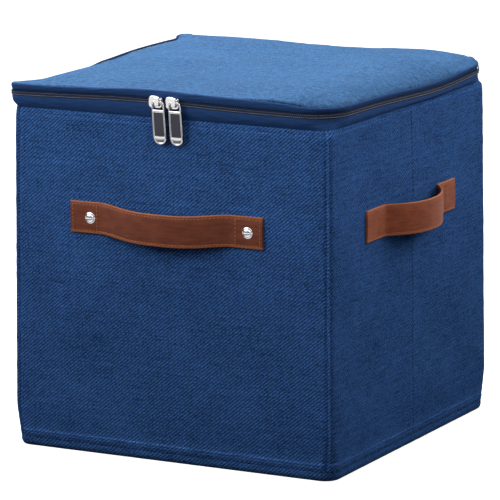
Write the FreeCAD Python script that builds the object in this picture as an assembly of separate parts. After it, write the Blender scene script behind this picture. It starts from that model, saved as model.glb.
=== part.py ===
import FreeCAD, Part
import math
import os

# Fabric storage bin with a zipped lid, three leather handles and a lift-out base board.
# Millimetres. The origin is the centre of the base on the floor and +Z is up.
# The front faces -Y and the right side faces +X.

# Bin body
BODY_WIDTH = 316.0  # outside, left to right and front to back
BIN_HEIGHT = 332.5  # floor to the lid's upper face
FABRIC_TOP = 310.0  # top edge of the woven side panels
CORNER_RADIUS = 5.5  # upright corners
FABRIC = 1.2  # woven outer fabric
BOARD = 2.5  # cardboard stiffeners in the walls
LINING = 0.8  # inner lining
HEM_TOP = 9.6  # the base seam, all round
BOARD_BOTTOM = 2.5
BOARD_TOP = 297.0
BOARD_GAP = 3.0  # fold line between the two boards of a side wall

# Rim and zip, which follow a rounded rectangle a little wider than the body
ZIP_HALF = 161.1  # outer face of the zip tapes, from the centre
ZIP_RADIUS = 12.0
ZIP_CENTRE = 324.0
ZIP_END_Y = 146.0  # the zip stops where the back corners begin
END_STOP = (3.2, 2.4)  # across and along the zip
END_STOP_FOOT = 1.0  # below the teeth
TAPE = 0.8
TEETH_GAP = 1.0  # between the two rows of teeth
TEETH_HEIGHT = 3.2
TEETH_DEPTH = 2.0
RIM_BOTTOM = 303.0
RIM_TOP = 318.0

# Lid
LID_FABRIC = 1.2
LID_BOARD = 2.4
LID_LINING = 0.8
LID_BACK_Y = 158.2
LID_INSET = 4.0  # board and lining, in from the lid's edge
BAND_BOTTOM = 330.1
HINGE_STRIP_TOP = 330.5
HINGE_STRIP_BOTTOM = 300.0
HINGE_STRIP_WIDTH = 300.0
HINGE_STRIP_THICKNESS = 1.7

# Zip sliders and pulls
LEFT_SLIDER_X = -10.8
RIGHT_SLIDER_X = 5.8
SLIDER_LENGTH = 13.2
SLIDER_BOTTOM = 319.0
SLIDER_TOP = 329.5
SLIDER_PLATE = 1.2
SLIDER_BACK_PLATE = 0.9
SLIDER_CHANNEL = 2.8  # between the front and back plates
SLIDER_WEB = 0.4
SLIDER_WEB_HALF_WIDTH = 2.5
SLIDER_CORNER = 3.0
SLIDER_ROUND = 0.5
LIP = (3.6, 0.7, 1.2)  # half width, depth and height of the lips that hold the tape
BRIDGE_X = 3.6  # the bridge is off the slider's middle
BRIDGE_WIDTH = 4.0
BRIDGE_GAP = 3.4  # room for the pull's bar
BRIDGE_THICKNESS = 1.2
BRIDGE_FOOT = 4.2  # below the pivot
BRIDGE_NOSE = 1.1
BRIDGE_TOP = 1.0
PULL_PIVOT_Z = 325.5
PULL_LEAN = 6.5  # degrees, so that the pull's tip lies against the wall
PULL_BAR = 1.6
PULL_LOOP_WIDTH = 12.2
PULL_LOOP_HEIGHT = 9.8
PULL_LOOP_SIDE = 1.7
PULL_LOOP_CORNERS = (4.2, 2.5)  # outside and inside
PULL_HOLE_DEPTH = 8.4
PULL_CROSS_BAR = 2.6
PULL_CROSS_BAR_PROUD = 0.2
PULL_LENGTH = 40.0
PULL_END_WIDTH = 12.8
PULL_RIM = 1.3  # round the sunk face of the plate
PULL_SUNK = 0.4

# Handles: one strap pattern, riveted on the front and sewn on the two sides
STRAP_WIDTH = 28.7
STRAP_THICKNESS = 2.4
HANDLE_Z = 215.2
FRONT_HANDLE_X = -3.1
SIDE_HANDLE_Y = -2.3
FRONT_STRAP = {"tab": 29.0, "angle": 18.5, "root": 15.0, "leg": 18.0, "bow": 142.0}
SIDE_STRAP = {"tab": 34.0, "angle": 40.0, "root": 4.0, "leg": 4.0, "bow": 79.0}
RIVET_PLACES = (-79.0, 78.5)
RIVET_HEAD_RADIUS = 5.0
RIVET_HEAD_HEIGHT = 2.4
RIVET_SHANK_RADIUS = 1.6
RIVET_FIT = 0.05
RIVET_WASHER = (4.0, 0.8)  # radius and thickness

# Lift-out base board
INSERT_HALF = 151.5
INSERT_COVER = 0.4
INSERT_BOARD = 2.8
INSERT_LIFT_GAP = 0.1

HALF = BODY_WIDTH / 2
INNER = HALF - FABRIC - BOARD - LINING  # inner face of the walls
STRAIGHT = HALF - CORNER_RADIUS  # where a flat wall meets its corner
TALL = 2 * BIN_HEIGHT  # longer than anything it cuts
UP = FreeCAD.Vector(0, 0, 1)
CENTRE = FreeCAD.Vector(0, 0, 0)


def box(x, y, z):
    """A block between the low and high value of each axis."""
    size = [high - low for low, high in (x, y, z)]
    return Part.makeBox(*size, FreeCAD.Vector(x[0], y[0], z[0]))


def prism(edges, low, high):
    """The closed outline of edges, from z = low to z = high."""
    face = Part.Face(Part.Wire(Part.__sortEdges__(edges)))
    solid = face.extrude(FreeCAD.Vector(0, 0, high - low))
    solid.translate(FreeCAD.Vector(0, 0, low))
    return solid


def rounded_block(half, radius, z, back=None):
    """A square block about the centre with round upright corners; back moves its rear face."""
    block = box((-half, half), (-half, half if back is None else back), z)
    upright = [e for e in block.Edges if abs(e.tangentAt(e.FirstParameter).z) > 0.99]
    return block.makeFillet(radius, upright)


def ring(half, radius, thickness, z):
    """A band all round, with its outer face half away from the centre."""
    outer = rounded_block(half, radius, z)
    inner = rounded_block(half - thickness, radius - thickness, z)
    return outer.cut(inner)


def rim_band(half, radius, thickness, z):
    """The part of a ring along the front and the two sides, as far as the back corners."""
    front = box((-TALL, TALL), (-TALL, ZIP_END_Y), z)
    return ring(half, radius, thickness, z).common(front)


def turned(shape, degrees):
    """A copy turned about the bin's upright middle line."""
    copy = shape.copy()
    copy.rotate(CENTRE, UP, degrees)
    return copy


def moved(shape, x=0.0, y=0.0, z=0.0):
    copy = shape.copy()
    copy.translate(FreeCAD.Vector(x, y, z))
    return copy


def front_layer(depth, thickness, z, span=STRAIGHT, start=None):
    """A flat layer of the front wall; depth is its distance inside the body's outer face."""
    low = -span if start is None else start
    face = -HALF + depth
    return box((low, span), (face, face + thickness), z)


def along_y(x, z, radius, y):
    """A round bar between two y values."""
    return Part.makeCylinder(radius, y[1] - y[0], FreeCAD.Vector(x, y[0], z), FreeCAD.Vector(0, 1, 0))


# Straps


def strap_moves(shape):
    """The strap's middle line: straight lengths, and (radius, degrees) turns, outwards positive."""
    root, bow = (shape["root"], shape["angle"]), (shape["bow"], -2 * shape["angle"])
    return [shape["tab"], root, shape["leg"], bow, shape["leg"], root, shape["tab"]]


def walk(moves, offset):
    """Edges of the line that runs offset outside the path, which starts at (0, 0) along the wall."""
    along, out, heading, edges = 0.0, 0.0, 0.0, []

    def point(x, y, angle):
        return FreeCAD.Vector(x - offset * math.sin(angle), -(y + offset * math.cos(angle)), 0)

    for move in moves:
        first = point(along, out, heading)
        if isinstance(move, float):
            along += move * math.cos(heading)
            out += move * math.sin(heading)
            edges.append(Part.LineSegment(first, point(along, out, heading)).toShape())
            continue
        radius, turn = move[0], math.radians(move[1])
        side = math.copysign(radius, turn)
        middle = (along - side * math.sin(heading), out + side * math.cos(heading))
        stops = [heading + turn / 2, heading + turn]
        ways = [(middle[0] + side * math.sin(a), middle[1] - side * math.cos(a)) for a in stops]
        edges.append(Part.Arc(first, *[point(*p, a) for p, a in zip(ways, stops)]).toShape())
        (along, out), heading = ways[1], stops[1]
    return edges, along


def strap(shape):
    """A strap on the front wall's outer face, centred on x = 0 and HANDLE_Z."""
    outer, length = walk(strap_moves(shape), STRAP_THICKNESS / 2)
    inner, _ = walk(strap_moves(shape), -STRAP_THICKNESS / 2)
    ends = [
        Part.LineSegment(outer[i].Vertexes[i].Point, inner[i].Vertexes[i].Point).toShape()
        for i in (0, -1)
    ]
    low = HANDLE_Z - STRAP_WIDTH / 2
    solid = prism(outer + inner + ends, low, low + STRAP_WIDTH)
    return moved(solid, x=-length / 2, y=-HALF - STRAP_THICKNESS / 2)


def with_rivet_holes(shape):
    for x in RIVET_PLACES:
        hole = along_y(x, HANDLE_Z, RIVET_SHANK_RADIUS + RIVET_FIT, (-TALL, 0))
        shape = shape.cut(hole)
    return shape


def rivet_cap(x):
    """A domed head outside the strap and its shank through strap, fabric, board and lining."""
    face = -HALF - STRAP_THICKNESS
    height, radius = RIVET_HEAD_HEIGHT, RIVET_HEAD_RADIUS
    ball_radius = (radius**2 + height**2) / (2 * height)
    ball = Part.makeSphere(ball_radius, FreeCAD.Vector(x, face - height + ball_radius, HANDLE_Z))
    dome = ball.common(along_y(x, HANDLE_Z, radius + 1, (face - height - 1, face)))
    shank = along_y(x, HANDLE_Z, RIVET_SHANK_RADIUS, (face - 0.5, -INNER + 0.4))
    return dome.fuse(shank)


def rivet_back(x):
    """The washer that closes the rivet on the lining."""
    radius, thickness = RIVET_WASHER
    disc = along_y(x, HANDLE_Z, radius, (-INNER, -INNER + thickness))
    return disc.cut(along_y(x, HANDLE_Z, RIVET_SHANK_RADIUS + RIVET_FIT, (-HALF, 0)))


# Zip slider and pull, made about x = 0

CHANNEL_FRONT = -ZIP_HALF + TAPE / 2 - SLIDER_CHANNEL / 2
CHANNEL_BACK = CHANNEL_FRONT + SLIDER_CHANNEL
SLIDER_FACE = CHANNEL_FRONT - SLIDER_PLATE
PULL_PIVOT_Y = SLIDER_FACE - BRIDGE_GAP / 2


def slider_plate(y):
    """A flat plate with round corners, seen from the front."""
    half = SLIDER_LENGTH / 2
    plate = box((-half, half), y, (SLIDER_BOTTOM, SLIDER_TOP))
    corners = [e for e in plate.Edges if abs(e.tangentAt(e.FirstParameter).y) > 0.99]
    return plate.makeFillet(SLIDER_CORNER, corners)


def slider_bridge():
    """The arch over the pull's bar: legs above and below the pivot, joined in front."""
    legs = (PULL_PIVOT_Z - BRIDGE_FOOT, SLIDER_TOP)
    front = SLIDER_FACE - BRIDGE_GAP - BRIDGE_THICKNESS
    x = (BRIDGE_X - BRIDGE_WIDTH / 2, BRIDGE_X + BRIDGE_WIDTH / 2)
    arch = box(x, (front, SLIDER_FACE), legs)
    nose = [e for e in arch.Edges if e.BoundBox.YMax < front + 0.1 and e.BoundBox.ZLength < 0.1]
    arch = arch.makeFillet(BRIDGE_NOSE, nose)
    space = (legs[0] + BRIDGE_NOSE, legs[1] - BRIDGE_TOP)
    hole = box(x, (front + BRIDGE_THICKNESS, SLIDER_FACE), space)
    return arch.cut(hole)


def slider_body():
    front = slider_plate((SLIDER_FACE, CHANNEL_FRONT))
    rim = [e for e in front.Edges if e.BoundBox.YMax < SLIDER_FACE + 0.1]
    front = front.makeFillet(SLIDER_ROUND, rim)
    back = slider_plate((CHANNEL_BACK, CHANNEL_BACK + SLIDER_BACK_PLATE))
    web_half = SLIDER_WEB / 2
    web = box(
        (-SLIDER_WEB_HALF_WIDTH, SLIDER_WEB_HALF_WIDTH),
        (CHANNEL_FRONT - 0.2, CHANNEL_BACK + 0.2),
        (ZIP_CENTRE - web_half, ZIP_CENTRE + web_half),
    )
    half, depth, height = LIP
    lip_z = (SLIDER_BOTTOM, SLIDER_BOTTOM + height)
    lips = [
        box((-half, half), (CHANNEL_FRONT - 0.1, CHANNEL_FRONT + depth), lip_z),
        box((-half, half), (CHANNEL_BACK - depth, CHANNEL_BACK + 0.1), lip_z),
    ]
    return front.multiFuse([back, web, slider_bridge()] + lips).removeSplitter()


def loop_outline(half, top, bottom, corner, y):
    """A plate with round upper corners, for the pull's loop and the hole in it."""
    plate = box((-half, half), y, (bottom, top))
    upper = [
        e
        for e in plate.Edges
        if abs(e.tangentAt(e.FirstParameter).y) > 0.99 and e.BoundBox.ZMin > top - 0.1
    ]
    return plate.makeFillet(corner, upper)


def pull_tab():
    """Loop, cross bar and plate in one casting, which leans from the bridge to the wall."""
    top = PULL_PIVOT_Z + PULL_BAR / 2
    loop_bottom = top - PULL_LOOP_HEIGHT
    plate_top = loop_bottom - PULL_CROSS_BAR / 2
    half_bar = PULL_BAR / 2
    thick = (PULL_PIVOT_Y - half_bar, PULL_PIVOT_Y + half_bar)
    half = PULL_LOOP_WIDTH / 2
    outer_corner, inner_corner = PULL_LOOP_CORNERS
    loop = loop_outline(half, top, loop_bottom, outer_corner, thick)
    hole = loop_outline(
        half - PULL_LOOP_SIDE, top - PULL_BAR, top - PULL_HOLE_DEPTH, inner_corner, thick
    )
    proud = (thick[0] - PULL_CROSS_BAR_PROUD, thick[1] + PULL_CROSS_BAR_PROUD)
    bar = box((-half, half), proud, (plate_top, plate_top + PULL_CROSS_BAR))

    end_half = PULL_END_WIDTH / 2
    tip_centre = top - PULL_LENGTH + end_half
    corners = [(-end_half, tip_centre), (-half, plate_top), (half, plate_top), (end_half, tip_centre)]
    points = [FreeCAD.Vector(x, thick[0], z) for x, z in corners]
    tip = FreeCAD.Vector(0, thick[0], top - PULL_LENGTH)
    edges = [Part.LineSegment(a, b).toShape() for a, b in zip(points, points[1:])]
    edges.append(Part.Arc(points[-1], tip, points[0]).toShape())
    outline = Part.Wire(edges)
    plate = Part.Face(outline).extrude(FreeCAD.Vector(0, PULL_BAR, 0))
    sunk = FreeCAD.Vector(0, PULL_SUNK, 0)
    inside = Part.Face(outline.makeOffset2D(-PULL_RIM)).extrude(sunk)
    whole = loop.cut(hole).fuse([bar, plate]).cut(inside).removeSplitter()
    pivot = FreeCAD.Vector(0, PULL_PIVOT_Y, PULL_PIVOT_Z)
    whole.rotate(pivot, FreeCAD.Vector(1, 0, 0), PULL_LEAN)
    return whole


# Whole sub-parts


def base_nodes():
    layers = {
        "base_outer_fabric": rounded_block(HALF, CORNER_RADIUS, (0, FABRIC)),
        "base_lining": rounded_block(INNER, 1.0, (FABRIC, FABRIC + LINING)),
        "base_hem_band": ring(HALF + FABRIC, CORNER_RADIUS + FABRIC, FABRIC, (FABRIC, HEM_TOP)),
    }
    bottom = FABRIC + LINING + INSERT_LIFT_GAP
    board, top = bottom + INSERT_COVER, bottom + INSERT_COVER + INSERT_BOARD
    layers["insert_bottom_cover"] = rounded_block(INSERT_HALF, 3.0, (bottom, board))
    layers["insert_board"] = rounded_block(INSERT_HALF, 3.0, (board, top))
    layers["insert_top_cover"] = rounded_block(INSERT_HALF, 3.0, (top, top + INSERT_COVER))
    return layers


def wall_nodes():
    fabric = front_layer(0, FABRIC, (FABRIC, FABRIC_TOP))
    board_z = (BOARD_BOTTOM, BOARD_TOP)
    board = front_layer(FABRIC, BOARD, board_z)
    lining_z = (FABRIC + LINING, FABRIC_TOP + 2)
    lining = front_layer(FABRIC + BOARD, LINING, lining_z)
    half_board = front_layer(FABRIC, BOARD, board_z, start=BOARD_GAP / 2)
    other_half = half_board.mirror(CENTRE, FreeCAD.Vector(1, 0, 0))
    return {
        "front_outer_fabric": with_rivet_holes(fabric),
        "front_board": with_rivet_holes(board),
        "front_lining": with_rivet_holes(lining),
        "right_outer_fabric": turned(fabric, 90),
        "right_front_board": turned(other_half, 90),
        "right_back_board": turned(half_board, 90),
        "right_lining": turned(lining, 90),
        "back_outer_fabric": turned(fabric, 180),
        "back_board": turned(board, 180),
        "back_lining": turned(lining, 180),
        "left_outer_fabric": turned(fabric, 270),
        "left_front_board": turned(half_board, 270),
        "left_back_board": turned(other_half, 270),
        "left_lining": turned(lining, 270),
    }


def corner_seams():
    """Folded seam allowance in the four upright corners."""
    height = FABRIC_TOP - FABRIC
    outer = Part.makeCylinder(CORNER_RADIUS, height, CENTRE, UP, 90)
    corner = moved(outer.cut(Part.makeCylinder(1.0, height)), STRAIGHT, STRAIGHT, FABRIC)
    return Part.makeCompound([turned(corner, 90 * quarter) for quarter in range(4)])


def teeth_row(z):
    """One row of zip teeth as a plain bar, centred on the tape."""
    half = ZIP_HALF + (TEETH_DEPTH - TAPE) / 2
    return rim_band(half, ZIP_RADIUS + (TEETH_DEPTH - TAPE) / 2, TEETH_DEPTH, z)


def rim_binding():
    """The folded cloth that carries the zip, wrapped round the outside of the body's top edge."""
    z = (RIM_BOTTOM, RIM_TOP)
    outer = rim_band(ZIP_HALF - TAPE, ZIP_RADIUS - TAPE, ZIP_RADIUS - TAPE - 1, z)
    return outer.cut(rounded_block(HALF, CORNER_RADIUS, z))


def zip_nodes():
    lower_top = ZIP_CENTRE - TEETH_GAP / 2
    upper_bottom = ZIP_CENTRE + TEETH_GAP / 2
    teeth_bottom = lower_top - TEETH_HEIGHT
    teeth_top = upper_bottom + TEETH_HEIGHT
    across, along = END_STOP
    stop = box(
        (ZIP_HALF + FABRIC - across, ZIP_HALF + FABRIC),
        (ZIP_END_Y, ZIP_END_Y + along),
        (teeth_bottom - END_STOP_FOOT, lower_top),
    )
    stops = [stop, stop.mirror(CENTRE, FreeCAD.Vector(1, 0, 0))]
    rim_outer = ZIP_HALF - TAPE
    lid_edge = BIN_HEIGHT - LID_FABRIC
    return {
        "rim_binding": rim_binding(),
        "zip_lower_tape": rim_band(ZIP_HALF, ZIP_RADIUS, TAPE, (FABRIC_TOP, teeth_bottom)),
        "zip_lower_teeth": teeth_row((teeth_bottom, lower_top)),
        "zip_end_stops": Part.makeCompound(stops),
        "zip_upper_teeth": teeth_row((upper_bottom, teeth_top)),
        "zip_upper_tape": rim_band(ZIP_HALF, ZIP_RADIUS, TAPE, (teeth_top, lid_edge)),
        "lid_side_band": rim_band(rim_outer, ZIP_RADIUS - TAPE, LID_FABRIC, (BAND_BOTTOM, lid_edge)),
    }


def lid_nodes():
    fabric_z = BIN_HEIGHT - LID_FABRIC
    board_z = fabric_z - LID_BOARD
    inset, inset_radius = ZIP_HALF - LID_INSET, ZIP_RADIUS - LID_INSET
    back = LID_BACK_Y
    strip_half = HINGE_STRIP_WIDTH / 2
    return {
        "lid_outer_fabric": rounded_block(ZIP_HALF, ZIP_RADIUS, (fabric_z, BIN_HEIGHT), back),
        "lid_board": rounded_block(inset, inset_radius, (board_z, fabric_z), back - 1),
        "lid_lining": rounded_block(inset, inset_radius, (board_z - LID_LINING, board_z), back - 1),
        "back_hinge_strip": box(
            (-strip_half, strip_half),
            (HALF, HALF + HINGE_STRIP_THICKNESS),
            (HINGE_STRIP_BOTTOM, HINGE_STRIP_TOP),
        ),
    }


def handle_nodes():
    front = with_rivet_holes(moved(strap(FRONT_STRAP), x=FRONT_HANDLE_X))
    right = moved(strap(SIDE_STRAP), x=SIDE_HANDLE_Y)
    left = moved(strap(SIDE_STRAP), x=-SIDE_HANDLE_Y)
    return {
        "front_handle_strap": front,
        "front_rivet_caps": Part.makeCompound([rivet_cap(x) for x in RIVET_PLACES]),
        "front_rivet_backs": Part.makeCompound([rivet_back(x) for x in RIVET_PLACES]),
        "right_handle_strap": turned(right, 90),
        "left_handle_strap": turned(left, 270),
    }


def slider_nodes():
    places = {"left": LEFT_SLIDER_X, "right": RIGHT_SLIDER_X}
    nodes = {}
    for side, x in places.items():
        nodes[f"{side}_slider_body"] = moved(slider_body(), x=x)
        nodes[f"{side}_pull_tab"] = moved(pull_tab(), x=x + BRIDGE_X)
    return nodes


def main():
    nodes = {
        **base_nodes(),
        **wall_nodes(),
        "corner_seams": corner_seams(),
        **zip_nodes(),
        **lid_nodes(),
        **handle_nodes(),
        **slider_nodes(),
    }
    os.makedirs("parts", exist_ok=True)
    for name, shape in nodes.items():
        shape.exportStep(f"parts/{name}.step")
        bounds = shape.BoundBox
        print(
            f"{name:22s} solids {len(shape.Solids)} valid {shape.isValid()} {shape.Volume:10.1f} mm3 "
            f"x {bounds.XMin:7.1f} {bounds.XMax:7.1f} y {bounds.YMin:7.1f} {bounds.YMax:7.1f} "
            f"z {bounds.ZMin:6.1f} {bounds.ZMax:6.1f}"
        )
    print(len(nodes), "nodes")


main()
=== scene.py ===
import math

import bmesh
import bpy
import numpy as np
from mathutils import Matrix, Vector


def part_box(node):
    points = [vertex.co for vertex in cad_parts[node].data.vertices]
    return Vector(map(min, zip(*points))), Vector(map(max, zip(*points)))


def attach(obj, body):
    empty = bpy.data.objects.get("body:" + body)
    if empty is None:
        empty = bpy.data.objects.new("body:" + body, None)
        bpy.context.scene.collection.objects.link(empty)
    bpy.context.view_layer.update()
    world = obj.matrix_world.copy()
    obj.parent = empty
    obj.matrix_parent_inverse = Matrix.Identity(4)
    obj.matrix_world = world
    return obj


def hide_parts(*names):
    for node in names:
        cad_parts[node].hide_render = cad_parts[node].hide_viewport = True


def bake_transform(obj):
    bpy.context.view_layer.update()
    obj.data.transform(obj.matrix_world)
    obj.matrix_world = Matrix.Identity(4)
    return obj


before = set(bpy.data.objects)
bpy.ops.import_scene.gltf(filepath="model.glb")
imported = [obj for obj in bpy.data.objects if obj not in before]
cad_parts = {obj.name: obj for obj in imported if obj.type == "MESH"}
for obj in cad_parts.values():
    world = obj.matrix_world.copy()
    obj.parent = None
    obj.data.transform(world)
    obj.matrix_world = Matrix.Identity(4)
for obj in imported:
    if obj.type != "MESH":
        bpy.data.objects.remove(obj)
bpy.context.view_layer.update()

# Places and sizes, in metres, taken from the frame
MM = 0.001
WALL = -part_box("front_outer_fabric")[0][1]  # the walls' outer face, from the middle
CLOTH_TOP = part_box("front_outer_fabric")[1][2]
INNER = -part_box("front_lining")[1][1]  # the linings' inner face
FLOOR_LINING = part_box("base_lining")[1][2]
HEM_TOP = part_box("base_hem_band")[1][2]
TAPE_FACE = -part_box("zip_lower_tape")[0][1]
LOWER_TEETH = [corner[2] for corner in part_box("zip_lower_teeth")]
UPPER_TEETH = [corner[2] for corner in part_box("zip_upper_teeth")]
ZIP_CENTRE = (LOWER_TEETH[1] + UPPER_TEETH[0]) / 2
LID_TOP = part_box("lid_outer_fabric")[1][2]
LID_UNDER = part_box("lid_lining")[0][2]
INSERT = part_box("insert_board")
STRAP_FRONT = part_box("front_handle_strap")
STRAP_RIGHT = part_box("right_handle_strap")
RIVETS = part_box("front_rivet_caps")

# Shape of the soft body round those sizes
FLARE = 2.9 * MM  # the walls lean out by this much at the floor
CORNER_RADIUS = 5.5 * MM
BASE_RADIUS = 15 * MM
RIM_RADIUS = 8 * MM
ZIP_RADIUS = 10 * MM
SEAM_FROM_CORNER = 4.0 * MM  # round the outline, from the corner's middle to its seam
CLOTH = 0.6 * MM
SIDE_CLOTH_TOP = CLOTH_TOP + 2 * MM

# How the soft rim, zip and lid differ from a straight and level ring
RIM_SAG = 2.2 * MM  # all of it stands this much low, and more or less so in places
FRONT_RISE = 3.0 * MM
RIGHT_SAG = 4.7 * MM
LEFT_SAG, LEFT_FRONT_SAG = 3.2 * MM, 2.6 * MM
BACK_SAG, BACK_RIGHT_RISE, BACK_LEFT_RISE = 1.6 * MM, 3.2 * MM, 1.2 * MM
RIGHT_CORNERS = 32 * MM  # its two right corners have slumped to this radius
LEFT_BOW = 6 * MM  # its left side bows in by this much
RIGHT_DROOP = 3.6 * MM  # the lid's edge hangs this much lower there than on the left
FRONT_SINK = 2.4 * MM  # and this much lower at the left half of the front
LEFT_PROUD = 1.0 * MM
LID_CROWN, LID_HUMP = 3.0 * MM, 5.5 * MM
LID_ROLL, SLACK_ROLL = 12 * MM, 22 * MM  # width of the lid's rolled edge, tight and slack

# Zip and straps
TOOTH_PITCH = 1.9 * MM
COIL_DEPTH = 0.7 * MM
COIL_LEG = 2.1 * MM
HANDLE_Z = (STRAP_FRONT[0][2] + STRAP_FRONT[1][2]) / 2
STRAP_WIDTH = STRAP_FRONT[1][2] - STRAP_FRONT[0][2]
STRAP_THICKNESS = 2.4 * MM
STITCH_INSET = 2.6 * MM

# ---------------------------------------------------------------- mesh helpers


def steps(low, high, coarse, fine, reach):
    """Values from low to high, closer together within reach of both ends."""
    edge = np.arange(0, reach, fine)
    count = max(2, int(round((high - low - 2 * reach) / coarse)) + 1)
    middle = np.linspace(low + reach, high - reach, count)
    return np.concatenate([low + edge, middle, (high - edge)[::-1]])


def circle(count):
    """Angles round a full turn."""
    return np.linspace(0, 2 * math.pi, count, endpoint=False)


def smooth(value):
    """0 below 0 and 1 above 1, with a smooth rise between."""
    t = np.clip(value, 0, 1)
    return t * t * (3 - 2 * t)


def rise(value, start, width):
    """0 up to the start, then a smooth rise to 1 over the width, both in millimetres."""
    return smooth((value / MM - start) / width)


def dent(value, centre, width):
    """A bell, 1 high at the centre; centre and width are in millimetres."""
    return np.exp(-(((value / MM - centre) / width) ** 2))


def ripples(a, b, seed, size, count=16):
    """A smooth random surface about 1 high, with waves of about that size."""
    rng = np.random.default_rng(seed)
    total = np.zeros(np.broadcast(a, b).shape)
    for _ in range(count):
        way, length = rng.uniform(0, 2 * math.pi), size * rng.uniform(0.6, 1.7)
        phase = rng.uniform(0, 2 * math.pi)
        along = a * math.cos(way) + b * math.sin(way)
        total += np.sin(2 * math.pi * along / length + phase)
    return total / math.sqrt(count)


def rim_lift(x, y):
    """How far the soft rim, zip and lid stand above their nominal height, at each place."""
    front, back, right, left = (rise(way, 60, 90) for way in (-y, y, x, -x))
    lift = FRONT_RISE * front * dent(x, -35, 85) - RIGHT_SAG * right * dent(y, 50, 95) - RIM_SAG
    hollow = LEFT_SAG + LEFT_FRONT_SAG * rise(-y, -60, 80)
    lift = lift - left * hollow * rise(y, -158, 45) * rise(-y, -157, 16)
    lift = lift + back * (BACK_RIGHT_RISE * dent(x, 112, 48) + BACK_LEFT_RISE * dent(x, -98, 35))
    return lift - BACK_SAG * back * dent(x, -10, 65)


def slumped(points):
    """The points, with the rim's right corners pulled in to a larger radius and its left side
    bowed in."""
    points = np.array(points, float)
    middle = TAPE_FACE - RIGHT_CORNERS
    dx, dy = points[..., 0] - middle, np.abs(points[..., 1]) - middle
    inside = (dx > 0) & (dy > 0)
    tight = RIGHT_CORNERS - ZIP_RADIUS  # from there to the corner the outline is already round
    in_corner = (dx > tight) & (dy > tight)
    ring = np.where(in_corner, tight + np.hypot(dx - tight, dy - tight), np.maximum(dx, dy))
    ratio = np.where(inside, ring / np.maximum(np.hypot(dx, dy), 1e-9), 1.0)
    ratio = 1 + (ratio - 1) * rise(points[..., 2] - CLOTH_TOP, -5, 15)
    points[..., 0] = np.where(inside, middle + dx * ratio, points[..., 0])
    side = np.sign(points[..., 1])
    points[..., 1] = np.where(inside, side * (middle + dy * ratio), points[..., 1])
    x, y, z = points[..., 0], points[..., 1], points[..., 2]
    bow = rise(y, -152, 50) * rise(-y, -152, 20) * rise(-x, 95, 65) * rise(z - CLOTH_TOP, -9, 22)
    points[..., 0] = x + LEFT_BOW * bow
    return points


def droop(x):
    """0 over most of the object, rising to 1 at its right side, where the lid's edge is slack."""
    return rise(x, 92, 62)


def front_sink(x, y):
    """How far the lid's edge sinks at the left half of the front."""
    return FRONT_SINK * rise(-x, 15, 65) * rise(-y, 118, 36)


def edge_drop(x, y):
    """How far the lid's band stops short of its nominal height. On the left it stands proud."""
    left = rise(-x, 120, 35) * rise(y, -120, 80)
    corner = dent(np.hypot(x + TAPE_FACE, y + TAPE_FACE), 0, 26)
    return RIGHT_DROOP * droop(x) + front_sink(x, y) - LEFT_PROUD * (left + corner)


def settled(points):
    """The points, with those above the walls lifted or lowered as the soft rim is."""
    points = slumped(points)
    share = rise(points[..., 2] - CLOTH_TOP, -3, 13)
    points[..., 2] += share * rim_lift(points[..., 0], points[..., 1])
    return points


def outline(u, half, radius):
    """Points and outward normals at distance u round a rounded square, from the front's middle."""
    straight = half - radius
    quarter = 2 * straight + radius * math.pi / 2
    side = np.floor(u / quarter + 0.5)
    along = u - side * quarter
    turn = np.sign(along) * np.clip(np.abs(along) - straight, 0, None) / radius
    x = np.clip(along, -straight, straight) + radius * np.sin(turn)
    y = -straight - radius * np.cos(turn)
    cos, sin = np.cos(side * math.pi / 2), np.sin(side * math.pi / 2)
    place = np.stack([cos * x - sin * y, sin * x + cos * y], -1)
    nx, ny = np.sin(turn), -np.cos(turn)
    return place, np.stack([cos * nx - sin * ny, sin * nx + cos * ny], -1)


def quarter_of(half, radius):
    """The distance round a rounded square from one side's middle to the next."""
    return 2 * (half - radius) + radius * math.pi / 2


def raised(u, z, half, radius, out):
    """Points at distance u round the outline and height z, moved out along its normal."""
    u, z, half, radius, out = np.broadcast_arrays(u, z, half, radius, out)
    place, normal = outline(u, half, radius)
    return settled(np.concatenate([place + normal * out[..., None], z[..., None]], -1))


def flat_map(u, v):
    """Places on the cloth laid flat, which its weave follows."""
    u, v = np.broadcast_arrays(u, v)
    return np.stack([u, v, 0 * u], -1).reshape(-1, 3)


def grid(points, close=False, flip=False):
    """(points, quads) of a sheet over rows of points; close joins the last column to the first."""
    rows, columns = points.shape[:2]
    index = np.arange(rows * columns).reshape(rows, columns)
    if close:
        index = np.hstack([index, index[:, :1]])
    quads = np.stack([index[:-1, :-1], index[:-1, 1:], index[1:, 1:], index[1:, :-1]], -1)
    quads = quads.reshape(-1, 4)
    return points.reshape(-1, 3), (quads[:, ::-1] if flip else quads).tolist()


def loft(loops, round_trip=False):
    """(points, faces) of a closed skin through loops of points, capped unless it is a round trip."""
    loops = np.asarray(loops, float)
    count, size = loops.shape[:2]
    points, faces = grid(np.concatenate([loops, loops[:1]]) if round_trip else loops, close=True)
    if round_trip:
        faces = [[i % (count * size) for i in face] for face in faces]
        return points[: count * size], faces
    first, last = list(range(size)), list(range((count - 1) * size, count * size))
    return points, faces + [first[::-1], last]


def joined(parts):
    """One (points, faces) from several."""
    points, faces, start = [], [], 0
    for place, quads in parts:
        points.append(place)
        faces += [[i + start for i in face] for face in quads]
        start += len(place)
    return np.concatenate(points), faces


def copies(part, origins, axes):
    """The part repeated at each origin, turned so that its x, y and z run along that row's axes."""
    points, faces = part
    places = np.einsum("pk,nkc->npc", points, axes) + origins[:, None, :]
    size = len(points)
    everyone = [[i + n * size for i in face] for n in range(len(origins)) for face in faces]
    return places.reshape(-1, 3), everyone


def added(name, data):
    """A new object in the scene."""
    obj = bpy.data.objects.new(name, data)
    bpy.context.scene.collection.objects.link(obj)
    return obj


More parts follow.
